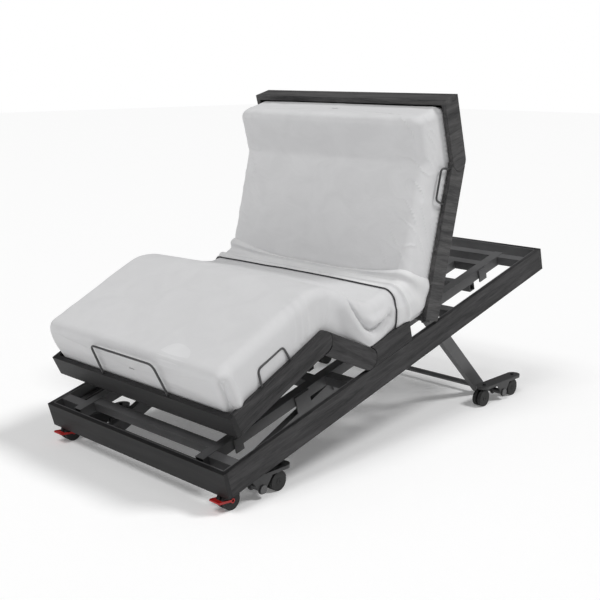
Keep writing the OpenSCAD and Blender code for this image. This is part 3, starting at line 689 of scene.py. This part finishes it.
def closed_block(name, skin, first, last, row_step, girth_step, material):
    """A closed piece of the mattress: a tube of rings, with a fan of triangles at each end."""
    row, girth = grid_of(first, last, -GIRTH, GIRTH, row_step, girth_step)
    row, girth = row[:, :-1], girth[:, :-1]
    rows, columns = row.shape
    points, normal = skin(row, girth), normal_of(skin, row, girth)
    middles = np.array([points[0].mean(0), points[-1].mean(0)])
    ring = np.arange(columns)
    following = np.roll(ring, -1)
    start = (np.arange(rows - 1) * columns)[:, None]
    quads = np.stack([start + ring, start + following, start + columns + following, start + columns + ring],
                     -1).reshape(-1, 4)
    last_ring = (rows - 1) * columns
    first_fan = np.stack([following, ring, np.full(columns, rows * columns)], 1)
    last_fan = np.stack([last_ring + ring, last_ring + following, np.full(columns, rows * columns + 1)], 1)
    faces = quads.tolist() + first_fan.tolist() + last_fan.tolist()
    all_points = np.vstack([points.reshape(-1, 3), middles])
    first_out = unit(points[0].mean(0) - points[1].mean(0))
    last_out = unit(points[-1].mean(0) - points[-2].mean(0))
    corners = np.vstack([normal.reshape(-1, 3)[quads.ravel()], np.tile(first_out, (3 * columns, 1)),
                         np.tile(last_out, (3 * columns, 1))])
    cloth = np.vstack([np.stack([girth.ravel(), row.ravel() * STEP], 1), np.zeros((2, 2))])
    return make_piece(name, all_points, faces, corners, material, cloth)


# %% [markdown]
# The fitted sheet is drawn tight over the mattress, so on the back it shows only shallow hills, short
# slanting creases by the edges, and the small gathers that its elastic makes low on the sides.

# %% Fitted sheet over the mattress
TIP = ROUND_ROWS + FLAT_ROWS - 0.4


def fitted_height(row, girth):
    """Hills of 2 mm, slanting creases of 2.5 mm near the edges, and gathers of 1.5 mm above the hem."""
    along, d = row * STEP, np.abs(girth)
    inside = 1 - step_up(np.maximum(-row, row - LAST), ROUND_ROWS, TIP)
    broad = 0.002 * hills(girth, along, 0.22, 0.3, 11)
    edge = step_up(d, 0.33, 0.50) * (1 - step_up(d, CORNER_END, SIDE_END))
    slant = creases(girth + 0.6 * along, along - 0.3 * girth, 0.05, 0.12, 12)
    phase = 2 * math.pi * along / 0.022 + 3 * hills(girth, along, 0.1, 0.08, 13)
    gather = bump(d, SIDE_END, 0.03) * np.sin(phase)
    return inside * (0.002 + broad + 0.0025 * edge * slant + 0.0015 * gather)


fitted_skin = raised(mattress_skin, fitted_height)
MATTRESS = (("leg", -TIP, CUTS["thigh"], 2.5, 0.018, ("mattress_calf",)),
            ("thigh", CUTS["thigh"], CUTS["seat"], 1.0, 0.014, ("mattress_thigh",)),
            ("seat", CUTS["seat"], CUTS["hip"], 2.0, 0.014, ("mattress_seat",)),
            ("back", CUTS["hip"], CUTS["back"], 1.0, 0.008, ("mattress_back",)),
            ("head", CUTS["back"], LAST + TIP, 1.0, 0.008, ("mattress_head",)))
for name, first, last, row_step, girth_step, nodes in MATTRESS:
    piece = closed_block("fitted_mattress_" + name, fitted_skin, first, last, row_step, girth_step,
                         fitted_linen)
    bend(piece, name)
    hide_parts(*nodes)
    print(piece.name, len(piece.data.polygons), "faces")

# %% [markdown]
# The top sheet is tucked right under the mattress at the foot and along both sides. It lies a few
# millimetres off the mattress, swells out above the side boards, and hangs in soft upright folds
# there. From the knee towards the seat the spare cloth runs in one deep slanting fold, and on the far
# half it spans the dip between them. Short ripples lie by the knee, and a crease marks the foot corner.

# %% Top sheet
SHEET_THICK = 0.0014


def side_share(girth):
    """0 on the flat top and at the side's lower edge, and 1 halfway down the side."""
    return np.sin(math.pi * np.clip((SIDE_END - np.abs(girth)) / (SIDE_END - FLAT_HALF), 0, 1))


def beside(row, girth, path):
    """Signed distance in metres to a line of (row, girth) corners, and the share of its length reached."""
    corners = np.array(path, float) * [STEP, 1]
    place = np.stack([row * STEP, girth], -1)
    lengths = np.linalg.norm(np.diff(corners, axis=0), axis=1)
    nearest, side, share = np.full(row.shape, 9.0), np.ones(row.shape), np.zeros(row.shape)
    for k, (start, end) in enumerate(zip(corners, corners[1:])):
        run = (end - start) / lengths[k]
        t = np.clip((place - start) @ run, 0, lengths[k])
        off = place - start - t[..., None] * run
        far = np.linalg.norm(off, axis=-1)
        closer = far < nearest
        nearest = np.where(closer, far, nearest)
        side = np.where(closer, np.sign(run[1] * off[..., 0] - run[0] * off[..., 1]), side)
        share = np.where(closer, (lengths[:k].sum() + t) / lengths.sum(), share)
    return nearest * side, share


GROOVE_TOP, GROOVE_DROP, GROOVE_LONG, GROOVE_RISE = 0.47, 0.142, 0.35, 1.3
RIPPLE_COUNT, RIPPLE_APART, RIPPLE_LEAN, RIPPLE_WIDE = 3, 0.039, 0.052, 0.010


def groove_line():
    """A sine: behind the knee it sinks a quarter wave from the top edge, and then it rises again."""
    t = np.linspace(0, GROOVE_RISE, 12)
    row = ROW["knee end"] + t * GROOVE_LONG / STEP
    return np.stack([row, GROOVE_TOP + GROOVE_DROP * np.sin(math.pi / 2 * t)], 1)


def ripple_line(k):
    """One straight, leaning line on the side below the knee. Line k lies RIPPLE_APART further on."""
    top = ROW["knee"] - 2 * RIPPLE_APART / STEP + k * RIPPLE_APART / STEP
    return np.array([[top, CORNER_END - 0.04], [top - RIPPLE_LEAN / STEP, CORNER_END + 0.09]])


GROOVE = groove_line()
RIPPLES = [ripple_line(k) for k in range(RIPPLE_COUNT)]
CORNER_CREASE = np.array([[-0.020 / STEP, CORNER_END], [-0.020 / STEP, SIDE_END]])


def slanting_fold(row, girth):
    """A 29 mm bulge, a 22 mm groove and a 16 mm swelling, side by side along the groove's line."""
    off, share = beside(row, girth, GROOVE)
    live = step_up(share, 0.0, 0.22) * (1 - 0.5 * step_up(share, 0.85, 1.0))
    bulge = 0.029 * bump(off, -0.038, 0.036) * (1 - step_up(share, 0.55, 1.0) * 0.6)
    groove = 0.022 * bump(off, 0.0, 0.011)
    pocket = 0.016 * bump(off, 0.034, 0.020) * step_up(share, 0.4, 0.7)
    return live * (bulge + pocket - groove)


def cover_height(row, girth):
    """3.5 mm, and off the underside 2 mm more, with 8 mm of swelling on the sides and all the folds."""
    along, d = row * STEP, np.abs(girth)
    inside = 1 - step_up(-row, ROUND_ROWS, TIP)
    side = side_share(girth)
    under = step_up(d, SIDE_END, LOW_CORNER_END)
    broad = 0.0032 * hills(girth, along, 0.24, 0.32, 21) + 0.0007 * hills(girth, along, 0.09, 0.13, 22)
    upright = 0.0035 * side * hills(girth, along, 0.25, 0.045, 23)
    apart = [beside(row, girth, path)[0] for path in RIPPLES]
    ripple = sum(bump(off, 0, RIPPLE_WIDE) - 0.5 * bump(off, 0.018, RIPPLE_WIDE) for off in apart)
    corner = beside(row, girth, CORNER_CREASE)[0]
    crease = 0.013 * bump(corner, 0.024, 0.018) - 0.013 * bump(corner, 0, 0.008)
    big = slanting_fold(row, girth) + 0.0022 * ripple + crease
    return 0.0035 + (1 - under) * (inside * (0.002 + 0.008 * side + broad + upright) + big)


SPAN_FROM, SPAN_TO = 0.11, 0.20
SPAN = slice(int(ROW["knee"] + SPAN_FROM / STEP), int(ROW["thigh fold"] + SPAN_TO / STEP))
SPAN_SHARE = 0.85
LOOSE_GIRTHS, LOOSE_ROWS = (0.08, 0.46), (70, 84)
bridged = mattress_lines[1].copy()
dip = bridged[SPAN]
chord = np.interp(dip[:, 0], dip[[0, -1], 0], dip[[0, -1], 1])
bridged[SPAN, 1] += SPAN_SHARE * np.clip(chord - dip[:, 1], 0, None)
bridged_skin = skin_on((mattress_lines[0], smoothed(bridged, 4.0)))


def loose_skin(row, girth):
    """The mattress's surface, but on the far half straighter from the knee to the band, over the dip."""
    loose = (1 - step_up(girth, *LOOSE_GIRTHS)) * (1 - step_up(-girth, FLAT_HALF, CORNER_END))
    loose = (loose * step_up(row, *LOOSE_ROWS))[..., None]
    return mattress_skin(row, girth) * (1 - loose) + bridged_skin(row, girth) * loose


cover_skin = raised(loose_skin, cover_height)


def seat_row(girth, y_top, y_side, y_low):
    """The row of a line across the seat: y_top, y_side and y_low past the thigh fold, down its girth."""
    d = np.abs(girth)
    places = [FLAT_HALF - 0.1, CORNER_END, (CORNER_END + SIDE_END) / 2, SIDE_END]
    y = np.interp(d, places, [y_top, y_top, y_side, y_low])
    share = outline(girth)[1]
    fold_top = THICK * math.tan((angle_of(along_seat) - angle_of(along_thigh)) / 2)
    back_top = THICK * math.tan((angle_of(along_back) - angle_of(along_seat)) / 2)
    length = np.linalg.norm(BACK - THIGH)
    part = (y - fold_top * share) / (length - (fold_top + back_top) * share)
    return ROW["thigh fold"] + np.clip(part, 0.04, 0.97) * (ROW["back fold"] - ROW["thigh fold"])


def stretched_grid(first, last, low, high, rows, girth_step):
    """A grid whose rows run from first(girth) to last(girth)."""
    share, girth = grid_of(0, 1, low, high, 1 / (rows - 1), girth_step)
    return first(girth) * (1 - share) + last(girth) * share, girth


TUCK = LOW_CORNER_END + 0.06
sheets = []
row, girth = grid_of(-TIP, CUTS["thigh"], -GIRTH + 1e-4, GIRTH - 1e-4, 1.0, 0.010)
sheets.append(("leg", cloth_shell("top_sheet_leg", cover_skin, row, girth, SHEET_THICK, cover_linen)))
row, girth = grid_of(CUTS["thigh"], CUTS["seat"], -TUCK, TUCK, 0.8, 0.010)
sheets.append(("thigh", cloth_shell("top_sheet_thigh", cover_skin, row, girth, SHEET_THICK, cover_linen)))
HEM_TOP, HEM_SIDE, HEM_LOW, HEM_LAP = 0.215, 0.20, 0.19, 1.5
hem_row = lambda girth: seat_row(girth, HEM_TOP, HEM_SIDE, HEM_LOW)
row, girth = stretched_grid(lambda g: np.full_like(g, CUTS["seat"]), lambda g: hem_row(g) + HEM_LAP,
                            -TUCK, TUCK, 60, 0.010)
sheets.append(("seat", cloth_shell("top_sheet_seat", cover_skin, row, girth, SHEET_THICK, cover_linen)))
for name, piece in sheets:
    bend(piece, name)

# %% [markdown]
# The turned-down band is the sheet's top hem, folded back over itself two or three times, so it is
# thicker than the sheet and shows fold lines that run across the bed. A dark piping is sewn into its
# lower edge. It bridges the crease between the seat and the back. In the middle it ends just above the
# crease, and at the sides it climbs further up the back.

# %% Turned-down band
BAND_THICK = 0.004
band_lines = smoothed(raw_low, 3.0), smoothed(raw_high, 6.0)
band_base = skin_on(band_lines)


BAND_MIDDLE, BAND_LEVEL, BAND_LOW, BAND_CLIMB = 0.03, 0.10, 0.018, 0.62


def top_row(girth):
    """The band's upper edge on the back: level near the middle, then climbing as the distance squared."""
    beyond = np.clip(np.abs(girth - BAND_MIDDLE) - BAND_LEVEL, 0, None)
    share = BAND_LOW + BAND_CLIMB * beyond ** 2
    return ROW["back fold"] + share * (ROW["neck fold"] - ROW["back fold"])


def band_share(row, girth):
    """0 at the band's lower edge, on the seat, and 1 at its upper edge, on the back."""
    return (row - hem_row(girth)) / (top_row(girth) - hem_row(girth))


def band_height(row, girth):
    """On top of the sheet: a flat hem, a ridge, a hollow and a thick roll, with swellings on both sides."""
    share = band_share(row, girth)
    side = side_share(girth)
    folds = (0.008 * bump(share, 0.24, 0.05) + 0.012 * bump(share, 0.88, 0.10)
             - 0.004 * bump(share, 0.42, 0.10))
    roll = np.sqrt(np.clip(1 - ((share - 0.92) / 0.08).clip(0, 1) ** 2, 0, 1))
    wave = 0.002 * hills(girth, row * STEP, 0.16, 0.05, 31)
    puff = 0.012 * side * bump(share, 0.35, 0.25)
    hem = cover_height(np.minimum(row, hem_row(girth)), girth) * (1 - step_up(share, 0.3, 0.9))
    return 0.002 + hem + roll * (0.004 + folds + wave + 0.006 * side + puff) * step_up(share, -0.02, 0.05)


band_skin = raised(band_base, band_height)
BAND_TUCK = SIDE_END - 0.012
row, girth = stretched_grid(hem_row, lambda g: np.full_like(g, CUTS["hip"]), -BAND_TUCK, BAND_TUCK, 26, 0.008)
band_seat = cloth_shell("turned_band_seat", band_skin, row, girth, BAND_THICK, band_linen)
row, girth = stretched_grid(lambda g: np.full_like(g, CUTS["hip"]), top_row, -BAND_TUCK, BAND_TUCK, 30, 0.008)
band_back = cloth_shell("turned_band_back", band_skin, row, girth, BAND_THICK, band_linen)
for name, piece in (("seat", band_seat), ("back", band_back)):
    bend(piece, name)


# %% [markdown]
# Round bars and the piping are one profile carried along a path: a circle of points is set at each
# point of the path, square to it, and the circles are joined. Both ends are closed with a small dome.

# %% Round bars
def bar_along(name, path, radius, material, sides=14):
    """A round bar: a circle at each path point, on two normals that turn as little as possible."""
    tangent = np.gradient(path, axis=0)
    tangent /= np.linalg.norm(tangent, axis=1, keepdims=True)
    first = np.array([1.0, 0, 0]) if abs(tangent[0][0]) < 0.9 else np.array([0, 0, 1.0])
    normals = [unit(np.cross(tangent[0], first))]
    for t in tangent[1:]:
        normals.append(unit(normals[-1] - t * np.dot(normals[-1], t)))
    normals = np.array(normals)
    others = np.cross(tangent, normals)
    steps = np.array([0.0, 0.55, 0.85])
    centres = np.vstack([path[0] - tangent[0] * radius * np.cos(steps * math.pi / 2)[:, None], path,
                         path[-1] + tangent[-1] * radius * np.cos(steps[::-1] * math.pi / 2)[:, None]])
    repeat = lambda a: np.vstack([a[:1]] * 3 + [a] + [a[-1:]] * 3)
    radii = np.concatenate([radius * np.sin(steps * math.pi / 2) + 1e-5, np.full(len(path), radius),
                            radius * np.sin(steps[::-1] * math.pi / 2) + 1e-5])
    turn = np.linspace(0, 2 * math.pi, sides, endpoint=False)
    circle = (repeat(normals)[:, None] * np.cos(turn)[None, :, None]
              + repeat(others)[:, None] * np.sin(turn)[None, :, None])
    points = centres[:, None] + circle * radii[:, None, None]
    rings = len(centres)
    ring = np.arange(sides)
    following = np.roll(ring, -1)
    start = (np.arange(rings - 1) * sides)[:, None]
    quads = np.stack([start + ring, start + following, start + sides + following, start + sides + ring],
                     -1).reshape(-1, 4)
    ends = [ring[::-1].tolist(), ((rings - 1) * sides + ring).tolist()]
    piece = make_piece(name, points, quads.tolist() + ends, None, material)
    return piece


def rounded(corners, radius, spacing=0.004):
    """An evenly spaced path of straight lines, with a quadratic curve round each corner."""
    corners = np.array(corners, float)
    path = [corners[0]]
    for before, corner, after in zip(corners, corners[1:], corners[2:]):
        t = np.linspace(0, 1, 9)[:, None]
        enter, leave = corner + unit(before - corner) * radius, corner + unit(after - corner) * radius
        path.extend((1 - t) ** 2 * enter + 2 * t * (1 - t) * corner + t ** 2 * leave)
    path.append(corners[-1])
    path = np.array(path)
    lengths = np.concatenate([[0], np.cumsum(np.linalg.norm(np.diff(path, axis=0), axis=1))])
    even = np.linspace(0, lengths[-1], int(lengths[-1] / spacing) + 2)
    return np.stack([np.interp(even, lengths, path[:, k]) for k in range(3)], 1)


# %% Piping
piping_material = coated("dark grey cotton piping", "#2c2c2f", "#3a3a3d", 0.8, 0.0012, 0.0002)
girth = np.linspace(-BAND_TUCK, BAND_TUCK, 420)
row = hem_row(girth)
lift = (cover_height(row, girth) + 0.004)[:, None]
piping_path = band_base(row, girth) + normal_of(band_base, row, girth) * lift
piping = bar_along("band_piping", piping_path, 0.0028, piping_material, 10)
bend(piping, "seat")

# %% [markdown]
# The retainers keep the mattress in place. Each is one bright-drawn steel wire, 9 mm thick, bent
# in a jig and set into holes in the boards' top edges, then coated dark.

# %% Wire retainers
WIRE = 0.0045
BOARD_HALF = 0.044
wire_material = coated("dark coated steel wire", "#3a3a3b", "#464647", 0.36, 0.0014, 0.00006)
side_middle = 0.546


def on_section(hinge, d, along, above, x):
    """A point of a deck section: along it from its hinge, above its middle line, and across the bed."""
    return np.array([x, *(hinge + d * along + upward(d) * above)])


def side_hoop(name, hinge, d, start, end, top, lean, x):
    """A side retainer: up, along and down, leaning inwards at both ends."""
    corners = [on_section(hinge, d, start, BOARD_HALF - 0.006, x), on_section(hinge, d, start + lean, top, x),
               on_section(hinge, d, end - lean, top, x), on_section(hinge, d, end, BOARD_HALF - 0.006, x)]
    return bar_along(name, rounded(corners, 0.018), WIRE, wire_material)


for label, x in (("left", side_middle), ("right", -side_middle)):
    hoop = side_hoop("back_retainer_" + label, BACK, along_back, 0.462, 0.614, 0.102, 0.009, x)
    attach(hoop, "back_section")
    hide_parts("back_retainers")
    hoop = side_hoop("leg_retainer_" + label, KNEE, along_calf, -0.330, -0.168, 0.112, 0.012, x)
    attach(hoop, "calf_section")
    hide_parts("calf_retainers")

foot_at, foot_half, foot_top = -0.501, 0.204, 0.186
corners = [on_section(KNEE, along_calf, foot_at, above, x) for above, x in (
    (BOARD_HALF - 0.006, -foot_half), (foot_top, 0.010 - foot_half), (foot_top, foot_half - 0.010),
    (BOARD_HALF - 0.006, foot_half))]
hoop = bar_along("foot_retainer", rounded(corners, 0.028), WIRE, wire_material)
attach(hoop, "calf_section")
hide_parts("calf_retainers")
print("five wire retainers")
